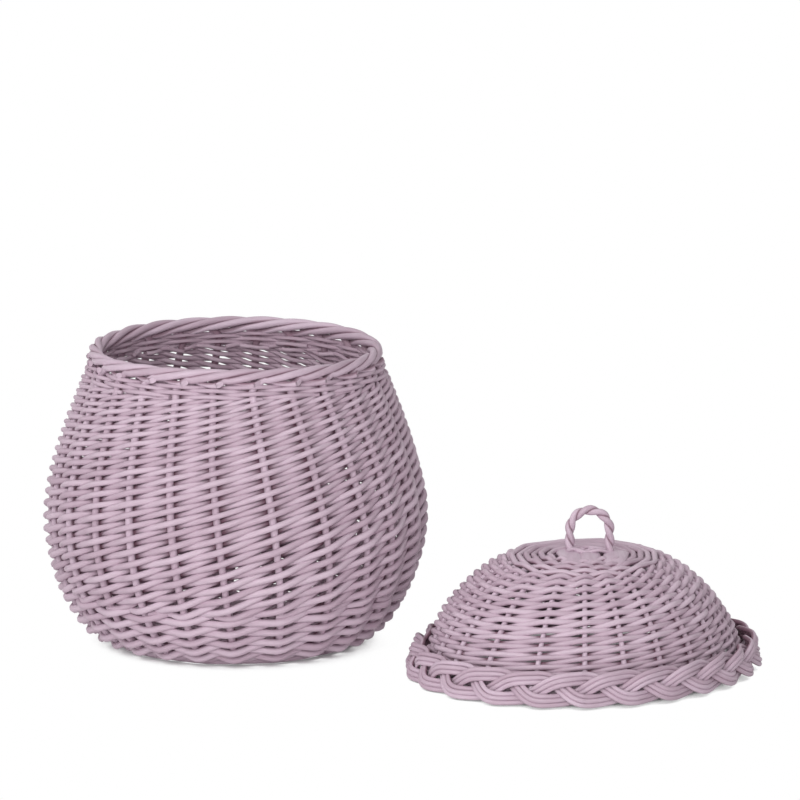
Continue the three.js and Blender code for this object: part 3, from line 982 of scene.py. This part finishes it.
@dataclass
class Base:
    """The base: sticks that pass through each other and fan out, with rows woven round them."""

    sticks_each_way: int = 3
    stick_diameter: float = 7.0
    height: float = 9.1
    reach: float = 111.5
    cross: float = 34.0
    cross_reach: float = 24.0
    cross_lift: float = 1.6
    cross_swell: float = 0.25
    fan: float = 42.0
    bindings: int = 3
    binding_gap: float = 3.5
    binding_diameter: float = 4.6
    binding_rise: float = 5.2
    # Mixes the base's sticks and their binding part way towards the dark tone.
    coat_and_light: float = 0.7
    row: float = 4.7
    row_start: float = 2.5
    row_end: float = 30.5
    row_part: float = 0.54
    row_grip: float = 0.85

    def build(self, shop: Workshop) -> None:
        """Makes the sticks, their bindings and the rows.

        Args:
            shop: The workshop.
        """
        sticks = Rods()
        self.sticks(sticks, shop.chance)
        self.binding(sticks, shop.chance)
        shop.dress("base_sticks", sticks, Slot.BASE, Carrier.BASKET, ["base_slath"], sides=8)
        floor = WovenWall()
        floor.rods = 4 * self.sticks_each_way
        floor.lay(Profile(np.stack([np.linspace(self.reach, 0, 60), np.full(60, self.height)], axis=1)))
        ends = (self.row_start, self.reach - self.row_end)
        gauge = Gauge([(end, 2 * self.row, self.row_part) for end in ends])
        rows = Rods()
        weave = Weave(floor, gauge, self.stick_diameter, self.row_grip, steps=14, sway=0.0)
        weave.level(rows, shop.chance)
        nodes = [f"base_course_{n:02d}" for n in (1, 2, 3)]
        shop.dress("base_rows", rows, Slot.BASE, Carrier.BASKET, nodes, sides=8)

    def sticks(self, rods: Rods, chance: Chance) -> None:
        """Adds the sticks, half of them across the others, which they pass over in the middle.

        Args:
            rods: Where they go.
            chance: The source of small differences.
        """
        pitch = FULL_TURN / (4 * self.sticks_each_way)
        lanes = np.arange(self.sticks_each_way) - (self.sticks_each_way - 1) / 2
        for lift in (-self.cross_lift, self.cross_lift):
            for lane in lanes:
                start = np.array([lane * self.cross / self.sticks_each_way, -self.cross / 2, self.height])
                spread = around(np.array([self.fan, self.reach]), self.height, lane * pitch)
                half = np.vstack([start, spread])
                path = smooth_path(np.vstack([half[::-1], half * np.array([1, -1, 1])]), 8)
                if lift > 0:
                    path = np.stack([-path[:, 1], path[:, 0], path[:, 2]], axis=1)
                middle = np.exp(-((np.linalg.norm(path[:, :2], axis=1) / self.cross_reach) ** 2))
                path[:, 2] += lift * middle
                size = self.stick_diameter * (1 + self.cross_swell * middle)
                rods.add(path, size, chance.random(), self.coat_and_light)

    def binding(self, rods: Rods, chance: Chance) -> None:
        """Adds the square rows that bind the cross, over one side and under the next.

        Args:
            rods: Where they go.
            chance: The source of small differences.
        """
        turn = np.linspace(0, FULL_TURN, 64, endpoint=False)
        corner = self.cross / 2 + self.binding_gap
        square = corner / np.maximum(np.abs(np.cos(turn)), np.abs(np.sin(turn))) ** 0.75
        rise = self.binding_rise * np.tanh(3 * np.cos(2 * turn))
        for k in range(self.bindings):
            height = self.height - rise * (1 if k % 2 else -1)
            path = around(square + k * self.binding_diameter, height, turn)
            rods.add(path, self.binding_diameter, chance.random(), self.coat_and_light, closed=True)


@dataclass
class LidShape(WovenWall):
    """The line of the lid's ribs, and where the lid stands."""

    place: Pair = (347.0, -137.0)
    rods: int = 24
    bearing: float = -0.5
    nudges: Nudges = (
        *((-12, 0.0), (-4, -9.5), (-3, -10.5), (-2, -8.5)),
        *((-1, -2.5), (0, 0.0), (4, 1.5), (11, 0.0)),
    )
    foot: Pair = (153.8, 9.0)
    crown: Pair = (60.0, 111.5)
    side_pull: Pair = (-2.9, 50.0)
    crown_pull: float = 35.6
    plate: float = 30.0
    bulge: float = 7.0
    bulge_bearing: float = -40.0
    bulge_top: float = 70.0

    def __post_init__(self) -> None:
        """Works out the profile."""
        foot, crown = self.foot, self.crown
        side_pull = (foot[0] + self.side_pull[0], foot[1] + self.side_pull[1])
        side = bezier([foot, side_pull, (crown[0] + self.crown_pull, crown[1]), crown], 160)
        flat = np.stack([np.linspace(crown[0], self.plate, 30), np.full(30, crown[1])], axis=1)
        self.lay(Profile(np.vstack([side, flat[1:]])), self.nudges)

    def length_at_radius(self, radius: float) -> float:
        """The length up the dome where it has drawn in to a radius."""
        return float(np.interp(-radius, -self.profile.points[:, 0], self.profile.lengths))

    def moved(self, rods: Rods) -> Rods:
        """Pulls paths a little out of round near the brim, and carries them to where the lid stands.

        Args:
            rods: Rods about the axis.

        Returns:
            The same rods, in place.
        """
        shift = np.array([*self.place, 0]) * MM
        placed = []
        for points in rods.points:
            angle = np.arctan2(points[:, 0], -points[:, 1])
            share = self.bulge * np.cos(2 * (angle - math.radians(self.bulge_bearing))) / self.foot[0]
            share *= 1 - ease(points[:, 2] / MM / self.bulge_top)
            placed.append(points * np.stack([1 + share, 1 + share, np.ones(len(points))], axis=1) + shift)
        rods.points = placed
        return rods


@dataclass
class LidFrame:
    """The ribs of the lid and the flat sticks at its crown.

    A lane gives how far aside the front and the back end of a stick lie, and its width.
    """

    shape: LidShape
    diameter: float = 5.6
    size_spread: float = 0.03
    place_spread: float = 0.015
    rib_points: int = 40
    rib_ends: tuple[Pair, ...] = ((167.0, 19.0), (160.5, 12.5))
    # Mixes the ribs and the crown's binding a little towards the dark tone.
    coat_and_light: float = 0.9
    lanes: Marks = ((-11.0, -20.0, 23.0), (7.0, 4.0, 21.0), (28.0, 36.0, 25.0))
    cross_width: float = 13.0
    cross_pitch: float = 1.05
    cross_drop: float = 3.0
    stick_thickness: float = 7.0
    stick_reach: float = 47.0
    stick_lift: float = 6.0
    stick_rings: int = 25
    stick_sides: int = 16
    end_dip: float = 5.5
    back_dip: float = 3.5
    stick_tone: float = 0.6
    ring_scale: float = 200.0
    bindings: int = 4
    binding_diameter: float = 3.6

    def build(self, shop: Workshop) -> None:
        """Makes the ribs, the sticks and the binding.

        Args:
            shop: The workshop.
        """
        shape, count = self.shape, self.rib_points
        rods = Rods()
        lengths = np.linspace(0, shape.profile.length, count)
        for k in range(shape.rods):
            place = k + shop.chance.normal(0, self.place_spread)
            angle = shape.angle(np.full(2, place), np.zeros(2))
            ends = around(*np.array(self.rib_ends).T, angle)
            path = np.vstack([ends, shape.spots(np.full(count, place), lengths, np.zeros(count))])
            size = self.diameter * (1 + shop.chance.normal(0, self.size_spread))
            rods.add(path, size, shop.chance.random(), self.coat_and_light)
        shop.dress("lid_ribs", shape.moved(rods), Slot.RODS, Carrier.LID, ["lid_frame"], sides=8)
        self.sticks(shop)
        self.binding(shop)

    def sticks(self, shop: Workshop) -> None:
        """Makes the flat crown sticks: three lengthwise over three crosswise, each a smooth tongue.

        Args:
            shop: The workshop.
        """
        level = self.shape.crown[1]
        grids = [self.tongue(*lane, level + self.stick_lift) for lane in self.lanes]
        for lane in (-1, 0, 1):
            aside = lane * self.cross_width * self.cross_pitch
            crossed = self.tongue(aside, aside, self.cross_width, level - self.cross_drop)
            grids.append(np.stack([crossed[..., 1], -crossed[..., 0], crossed[..., 2]], axis=-1))
        faces: list[list[int]] = []
        rows, columns = self.stick_rings, self.stick_sides
        for base in range(0, len(grids) * rows * columns, rows * columns):
            for i in range(rows - 1):
                for j in range(columns):
                    a, b = base + i * columns + j, base + i * columns + (j + 1) % columns
                    faces.append([a, b, b + columns, a + columns])
            faces.append([base + j for j in reversed(range(columns))])
            faces.append([base + (rows - 1) * columns + j for j in range(columns)])
        points = (np.concatenate(grids).reshape(-1, 3) + np.array([*self.shape.place, 0])) * MM
        made = bpy.data.meshes.new("crown_sticks")
        made.from_pydata(points.tolist(), [], faces)
        for key, value in (("tone", self.stick_tone), ("coat_and_light", 1.0), ("inner_coat_and_light", 1.0)):
            carry(made, key, np.full(len(points), value))
        carry(made, "along", points[:, 1])
        carry(made, "ring", points[:, [0, 2, 1]] * np.array([self.ring_scale, self.ring_scale, 0]))
        made.polygons.foreach_set("use_smooth", [True] * len(made.polygons))
        made.materials.append(shop.paints[Slot.RODS])
        piece = bpy.data.objects.new("crown_sticks", made)
        bpy.context.scene.collection.objects.link(piece)
        shop.tie(piece, Carrier.LID, [])

    def tongue(self, front: float, back: float, width: float, level: float) -> Array:
        """A flat stick with round ends that dip under the first rows.

        Args:
            front: How far aside its front end lies.
            back: How far aside its back end lies.
            width: Its width.
            level: The height of its middle.

        Returns:
            Rings of points along it.
        """
        share = np.sin(np.linspace(-1, 1, self.stick_rings) * math.pi / 2)[:, None]
        narrow = np.sqrt(np.clip(1 - np.abs(share) ** 5, 0.02, 1))
        turn = np.linspace(0, FULL_TURN, self.stick_sides, endpoint=False)
        across = np.sign(np.cos(turn)) * np.abs(np.cos(turn)) ** 0.8 * width / 2
        up = np.sin(turn) * self.stick_thickness / 2
        dip = self.end_dip * np.abs(share) ** 4 + self.back_dip * ease((share + 0.1) / 0.5)
        x = narrow * across + front + (back - front) * (share + 1) / 2
        z = level + narrow * up - dip
        return np.stack(np.broadcast_arrays(x, share * self.stick_reach, z), axis=-1)

    def binding(self, shop: Workshop) -> None:
        """Makes the thin strands that bind the crown between the legs of the handle.

        Args:
            shop: The workshop.
        """
        rods = Rods()
        top = self.shape.crown[1] + self.stick_lift + self.stick_thickness / 2
        share = np.linspace(0, 1, 24)
        for k in range(self.bindings):
            x = -17 + 44 * share
            y = -6 + 5 * k + 3.0 * np.sin(share * (7 + k) + 2.1 * k)
            z = top + 0.4 + 1.3 * np.sin(share * (11 - k) + 1.3 * k)
            path = np.stack([x, y, z], axis=1)
            rods.add(path, self.binding_diameter, shop.chance.random(), self.coat_and_light)
        rods = self.shape.moved(rods)
        shop.dress("crown_binding", rods, Slot.RODS, Carrier.LID, [], sides=8, wobble=0.002)


@dataclass
class LidWeaving:
    """The weaving on the lid's ribs, which climbs half a row from each rib to the next, and the crown's rows.

    The gauge gives radii, each with the distance between weavers and the part of it that one fills. The
    crown's rows bend at the corners, in degrees, and swing more at the front than elsewhere.
    """

    shape: LidShape
    rib_diameter: float = 5.6
    grip: float = 0.7
    sway: float = 0.4
    gauge: Marks = (
        *((153.6, 8.0, 0.63), (147.0, 8.6, 0.62), (124.0, 9.6, 0.6)),
        *((88.0, 10.2, 0.6), (74.0, 9.0, 0.6)),
    )
    climb: float = 0.5
    crown_rows: int = 6
    crown_outside: float = 73.0
    crown_pitch: float = 7.6
    crown_diameter: float = 5.9
    crown_lift: float = 6.0
    crown_fall: float = 3.2
    crown_front_fall: float = 2.6
    crown_swing: Pair = (2.5, 0.7)
    # Painted shade, with thin paint, on the undersides of the crown's rows, between them.
    crown_inner_coat_and_light: float = 0.3
    corners: tuple[float, ...] = (-94, -70, -55, -39, -18, 0, 15, 30, 46, 75, 105, 135, 165, 200, 235)

    def build(self, shop: Workshop) -> None:
        """Makes the rows.

        Args:
            shop: The workshop.
        """
        shape = self.shape
        gauge = Gauge([(shape.length_at_radius(radius), *rest) for radius, *rest in self.gauge])
        rods = Rods()
        weave = Weave(shape, gauge, self.rib_diameter, self.grip, steps=9, sway=self.sway)
        weave.climbing([rods], self.climb, shop.chance)
        self.crown(rods, shop.chance)
        nodes = [f"lid_course_{n:02d}" for n in range(1, 8)]
        shop.dress("lid_rows", shape.moved(rods), Slot.WEAVERS, Carrier.LID, nodes, sides=8)

    def crown(self, rods: Rods, chance: Chance) -> None:
        """Adds the thick rows round the flat crown, over one corner and under the next.

        Args:
            rods: Where they go.
            chance: The source of small differences.
        """
        corners = np.radians([*self.corners, self.corners[0] + 360])
        count = np.arange(len(corners))
        swing = np.where(np.abs(corners) < 1.0, *self.crown_swing)
        for k in range(self.crown_rows):
            radius = self.crown_outside - self.crown_pitch * k
            outside = (radius / self.crown_outside) ** 2
            height = self.shape.crown[1] + self.crown_lift - self.crown_fall * outside
            height = height - self.crown_front_fall * np.clip(np.cos(corners), 0, 1) * outside
            lift = swing * np.cos(np.pi * (count + k)) + chance.normal(0, 0.3, len(corners))
            lift[-1] = lift[0]
            marks = around(radius + chance.normal(0, 0.4), height + lift, corners)
            step = np.linspace(0, count[-1], 8 * count[-1], endpoint=False)
            path = np.stack([np.interp(step, count, column) for column in marks.T], axis=1)
            path = (np.roll(path, 1, axis=0) + 2 * path + np.roll(path, -1, axis=0)) / 4
            upward = np.tile([0.0, 0.0, 1.0], (len(path), 1))
            size = self.crown_diameter * (1 + chance.normal(0, 0.04))
            coat_and_light = self.crown_inner_coat_and_light
            rods.add(path, size, chance.random(), closed=True, outward=upward, inner_coat_and_light=coat_and_light)


@dataclass
class Brim:
    """Three strands of rods plaited round the foot of the lid, a little lower at the back."""

    shape: LidShape
    strands: int = 3
    rods_each: int = 3
    radius: float = 168.9
    tilt: float = 0.008
    height_share: float = 0.95
    back_share: float = 0.07
    flare: float = 0.25
    height: float = 18.7
    swing: float = 11.3
    flat: float = 0.1
    depth: float = 4.6
    waves: int = 8
    diameter: float = 4.7
    size_spread: float = 0.04
    spacing: float = 4.35
    rounding: float = 1.2
    # Painted shade, with thin paint, between the brim's rods and on their inner sides.
    coat_and_light: float = 0.8
    inner_coat_and_light: float = 0.15
    steps: int = 240

    def build(self, shop: Workshop) -> None:
        """Makes a piece for each strand.

        Args:
            shop: The workshop.
        """
        angle = np.linspace(0, FULL_TURN, self.steps, endpoint=False)
        outward = around(1.0, self.flare, angle)
        for k in range(self.strands):
            swing = self.waves * angle + FULL_TURN * k / self.strands
            height = self.height + self.swing * (np.sin(swing) + self.flat * np.sin(3 * swing))
            radius = self.radius + self.depth * np.sin(2 * swing) - self.flare * (height - self.height)
            middle = around(radius, height, angle)
            middle[:, 2] *= self.height_share + self.back_share * np.cos(angle)
            middle[:, 2] += self.tilt * middle[:, 0]
            run = unit(np.roll(middle, -1, axis=0) - np.roll(middle, 1, axis=0))
            side = unit(np.cross(outward, run))
            rods = Rods()
            for j in range(self.rods_each):
                lane = (j - (self.rods_each - 1) / 2) * self.spacing
                path = middle + side * lane + outward * (0.5 - abs(lane) / self.spacing) * self.rounding
                size = self.diameter * (1 + shop.chance.normal(0, self.size_spread))
                tone, inner = shop.chance.random(), self.inner_coat_and_light
                rods.add(path, size, tone, self.coat_and_light, closed=True, outward=outward, inner_coat_and_light=inner)
            name = f"brim_strand_{k + 1:02d}"
            rods = self.shape.moved(rods)
            shop.dress(f"{name}_willow", rods, Slot.RODS, Carrier.LID, [name], sides=10, wobble=0.001)


@dataclass
class Handle:
    """A loop of two strands twisted together, standing in the crown."""

    shape: LidShape
    strands: int = 2
    diameter: float = 6.7
    size_spread: float = 0.03
    coil: float = 1.9
    span: float = 39.5
    aside: float = 5.5
    top: float = 167.0
    foot: float = 103.0
    turns: float = 5.0
    # Painted shade, with thin paint, on the sides where the two strands twist into each other.
    inner_coat_and_light: float = 0.3
    steps: int = 120

    def build(self, shop: Workshop) -> None:
        """Makes a piece for each strand.

        Args:
            shop: The workshop.
        """
        arch = self.span / 2
        centre = self.top - self.coil - self.diameter / 2 - arch
        leg = centre - self.foot
        length = 2 * leg + math.pi * arch
        travelled = np.linspace(0, length, self.steps)
        bend = np.clip((travelled - leg) / arch, 0, math.pi)
        over = np.clip(travelled - leg - math.pi * arch, 0, None)
        x = -arch * np.cos(bend)
        z = np.where(travelled < leg, self.foot + travelled, centre + arch * np.sin(bend) - over)
        normal = np.stack([-np.cos(bend), 0 * bend, np.sin(bend)], axis=1)
        middle = np.stack([x + self.aside, 0 * x, z], axis=1)
        for k in range(self.strands):
            turn = FULL_TURN * (self.turns * travelled / length + k / self.strands)
            path = middle + normal * (self.coil * np.cos(turn))[:, None]
            path[:, 1] += self.coil * np.sin(turn)
            rods = Rods()
            size = self.diameter * (1 + shop.chance.normal(0, self.size_spread))
            outward = (path - middle) / self.coil
            rods.add(path, size, shop.chance.random(), outward=outward, inner_coat_and_light=self.inner_coat_and_light)
            name = f"handle_strand_{k + 1:02d}"
            rods = self.shape.moved(rods)
            shop.dress(f"{name}_willow", rods, Slot.RODS, Carrier.LID, [name], sides=12, wobble=0.0008)


@dataclass
class Studio:
    """A white floor, soft light from the left and the camera of the photo.

    A lamp has a place, a side and a power. The floor's shade is how open it is where its shadow is whole and
    where it ends.
    """

    target: Triple = (0.1645, 0.0, 0.244)
    distance: float = 12.0
    elevation: float = 12.0
    lens: float = 540.0
    sensor: float = 36.0
    clip_end: float = 100.0
    ambient: float = 0.48
    from_above: float = 0.2
    from_left: float = 0.35
    key: tuple[Triple, float, float] = ((-2.6, -2.4, 2.6), 2.4, 25.0)
    fill: tuple[Triple, float, float] = ((-0.3, -3.6, 1.5), 2.0, 63.0)
    lit_spot: Triple = (0.15, -0.05, 0.15)
    floor_size: float = 30.0
    floor_level: float = -0.0006
    floor_colour: tuple[float, float, float, float] = (0.88, 0.87, 0.875, 1.0)
    shade: Pair = (0.03, 0.2)
    shade_reach: float = 0.3
    shade_samples: int = 16

    def build(self) -> None:
        """Makes the floor, the world, the lights and the camera."""
        self.floor()
        self.world()
        self.light("key", *self.key)
        self.light("fill", *self.fill)
        self.camera()

    def seen(self, wire: Wiring) -> Socket:
        """Tells whether a ray shows the background: straight to the camera, mirrored or through glass.

        Args:
            wire: The wiring of the floor or the world.

        Returns:
            1 for such a ray, and else 0.
        """
        rays = wire.node("ShaderNodeLightPath").outputs
        shown = wire.math("MAXIMUM", rays["Is Camera Ray"], rays["Is Glossy Ray"])
        return wire.math("MAXIMUM", shown, rays["Is Transmission Ray"])

    def floor(self) -> None:
        """A floor that the camera sees as white, with the shadow kept where the basket closes it in."""
        bpy.ops.mesh.primitive_plane_add(size=self.floor_size, location=(0, 0, self.floor_level))
        plane = bpy.context.object
        plane.name = "floor"
        paint = bpy.data.materials.new("pale_floor")
        paint.use_nodes = True
        wire = Wiring(paint.node_tree)
        reach = {"Distance": self.shade_reach}
        closed = wire.node("ShaderNodeAmbientOcclusion", reach, samples=self.shade_samples).outputs["AO"]
        shade = {"Value": closed, "From Min": self.shade[0], "From Max": self.shade[1]}
        open_floor = wire.node("ShaderNodeMapRange", shade).outputs["Result"]
        white = wire.math("MULTIPLY", self.seen(wire), open_floor)
        glow = wire.node("ShaderNodeEmission", {"Color": WHITE}).outputs[0]
        matte = wire.node("ShaderNodeBsdfDiffuse", {"Color": self.floor_colour}).outputs[0]
        top = wire.node("ShaderNodeMixShader", {"Fac": white, 1: matte, 2: glow}).outputs[0]
        below = wire.node("ShaderNodeNewGeometry").outputs["Backfacing"]
        clear = wire.node("ShaderNodeBsdfTransparent").outputs[0]
        one_sided = wire.node("ShaderNodeMixShader", {"Fac": below, 1: top, 2: clear}).outputs[0]
        wire.node("ShaderNodeOutputMaterial", {"Surface": one_sided})
        plane.data.materials.append(paint)

    def world(self) -> None:
        """Light from all round, more of it from the left and from above, on a white backdrop."""
        world = bpy.data.worlds.new("studio")
        bpy.context.scene.world = world
        world.use_nodes = True
        wire = Wiring(world.node_tree)
        direction = wire.node("ShaderNodeTexCoord").outputs["Generated"]
        towards = (-self.from_left * self.ambient, 0.0, self.from_above * self.ambient)
        uneven = wire.math("ADD", wire.vector("DOT_PRODUCT", direction, towards), self.ambient)
        levels = {"Factor": self.seen(wire), 2: uneven, 3: 1.0}
        strength = wire.node("ShaderNodeMix", levels, data_type="FLOAT").outputs[0]
        back = wire.node("ShaderNodeBackground", {"Color": WHITE, "Strength": strength}).outputs[0]
        wire.node("ShaderNodeOutputWorld", {"Surface": back})

    def light(self, name: str, place: Triple, size: float, power: float) -> None:
        """A soft square light that faces the basket.

        Args:
            name: Its name.
            place: Where it hangs, in metres.
            size: Its side, in metres.
            power: Its power, in watts.
        """
        lamp = bpy.data.lights.new(name, "AREA")
        lamp.energy = power
        lamp.size = size
        holder = bpy.data.objects.new(name, lamp)
        holder.location = place
        aim = Vector(self.lit_spot) - Vector(place)
        holder.rotation_euler = aim.to_track_quat("-Z", "Y").to_euler()
        bpy.context.scene.collection.objects.link(holder)

    def camera(self) -> None:
        """A far camera with a long lens, a little above the rim."""
        lens = bpy.data.cameras.new("camera")
        lens.lens = self.lens
        lens.sensor_width = self.sensor
        lens.clip_end = self.clip_end
        holder = bpy.data.objects.new("camera", lens)
        slope = math.radians(self.elevation)
        back = Vector((0, -math.cos(slope), math.sin(slope)))
        holder.location = Vector(self.target) + back * self.distance
        holder.rotation_euler = (-back).to_track_quat("-Z", "Y").to_euler()
        bpy.context.scene.collection.objects.link(holder)
        bpy.context.scene.camera = holder
        bpy.context.scene.view_settings.view_transform = "Standard"


def paints() -> dict[Slot, Material]:
    """The paints of the three material slots.

    Returns:
        A material for each slot.
    """
    # The darkest tone stands for painted shade in recesses, together with thin paint there.
    mauve = dict(light=(211, 190, 204), deep=(190, 166, 181), thin=(186, 150, 156), bare_and_shade_colour=(104, 52, 72))
    rods = {**mauve, "light": (214, 193, 208), "roughness": 0.56}
    base = {**mauve, "light": (200, 177, 190), "roughness": 0.66}
    return {
        Slot.WEAVERS: WillowPaint("weaver_paint", **mauve).material(),
        Slot.RODS: WillowPaint("rod_paint", **rods).material(),
        Slot.BASE: WillowPaint("base_paint", **base).material(),
    }


def main() -> None:
    """Builds the body, the lid and the studio."""
    logging.basicConfig(level=logging.INFO, format="%(message)s")
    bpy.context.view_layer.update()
    shop = Workshop(RodTree(), paints(), np.random.default_rng(RodTree.SEED))
    body, lid = BodyShape(), LidShape()
    on_body = (Stakes(body), WallWeaving(body), Foot(body), Base())
    on_lid = (LidFrame(lid), LidWeaving(lid), Brim(lid), Handle(lid))
    for part in (*on_body, *on_lid):
        part.build(shop)
    Studio().build()


if __name__ == "__main__":
    main()
